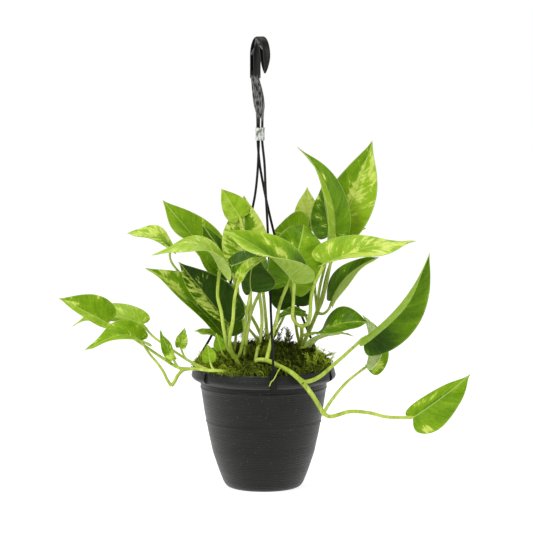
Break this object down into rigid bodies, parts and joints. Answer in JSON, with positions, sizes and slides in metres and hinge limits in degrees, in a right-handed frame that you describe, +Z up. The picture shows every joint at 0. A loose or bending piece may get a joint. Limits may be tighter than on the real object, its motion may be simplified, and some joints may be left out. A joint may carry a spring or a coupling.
{
  "type": "potted pothos plant",
  "caption": "Trailing houseplant with heart-shaped variegated leaves in a round black hanging pot, with a three-strand plastic hanger and hook.",
  "frame": {"origin": "middle of the flat underside of the pot", "axes": "+Z up through the pot's axis to the hook, +X to the right of the front view, +Y away from it"},
  "size_m": [0.4632, 0.2393, 0.5133],
  "materials": {
    "pot_plastic": "satin black moulded plastic",
    "hanger_plastic": "semi-gloss black moulded plastic",
    "clear_tape": "clear adhesive tape",
    "potting_soil": "dark crumbly potting soil",
    "moss": "matt living moss",
    "green_stem": "smooth waxy green stem",
    "leaf_blade": "waxy leaf with cream and yellow variegation"
  },
  "bodies": {
    "root": {"pot": "pot_plastic", "hanger": "hanger_plastic", "tape_band": "clear_tape", "soil": "potting_soil", "moss": "moss", "stem_left_upright": "green_stem", "stem_dark_round": "green_stem", "stem_centre_back": "green_stem", "stem_centre": "green_stem", "stem_right_trailing": "green_stem", "stem_right_bend": "green_stem", "stem_back": "green_stem", "stem_right_back": "green_stem", "stem_left_back": "green_stem", "stem_left_trailing": "green_stem", "leaf_high_right": "leaf_blade", "leaf_tall_front": "leaf_blade", "leaf_dark_behind": "leaf_blade", "leaf_small_cream": "leaf_blade", "leaf_round_back": "leaf_blade", "leaf_right_wide": "leaf_blade", "leaf_right_lower": "leaf_blade", "leaf_centre_upright": "leaf_blade", "leaf_front_centre": "leaf_blade", "leaf_front_left": "leaf_blade", "leaf_far_upper_left": "leaf_blade", "leaf_upper_left": "leaf_blade", "leaf_dark_behind_front": "leaf_blade", "leaf_upper_centre": "leaf_blade", "leaf_striped": "leaf_blade", "leaf_small_folded": "leaf_blade", "leaf_dark_round": "leaf_blade", "leaf_right_low": "leaf_blade", "leaf_big_right": "leaf_blade", "leaf_right_hanging": "leaf_blade", "leaf_low_right": "leaf_blade", "leaf_far_left": "leaf_blade", "leaf_far_left_back": "leaf_blade", "leaf_far_left_near": "leaf_blade", "leaf_spear": "leaf_blade", "leaf_bud_round": "leaf_blade", "leaf_dark_mottled": "leaf_blade", "leaf_left_pointed": "leaf_blade", "leaf_grey_behind": "leaf_blade", "leaf_dark_small": "leaf_blade", "leaf_dark_back": "leaf_blade", "leaf_low_edge": "leaf_blade", "leaf_small_left": "leaf_blade", "leaf_small_bright": "leaf_blade", "leaf_small_pale": "leaf_blade", "leaf_low_under": "leaf_blade", "leaf_back_left": "leaf_blade", "leaf_back_centre": "leaf_blade", "leaf_back_right": "leaf_blade", "leaf_back_low_left": "leaf_blade", "leaf_back_low_right": "leaf_blade"}
  },
  "joints": []
}
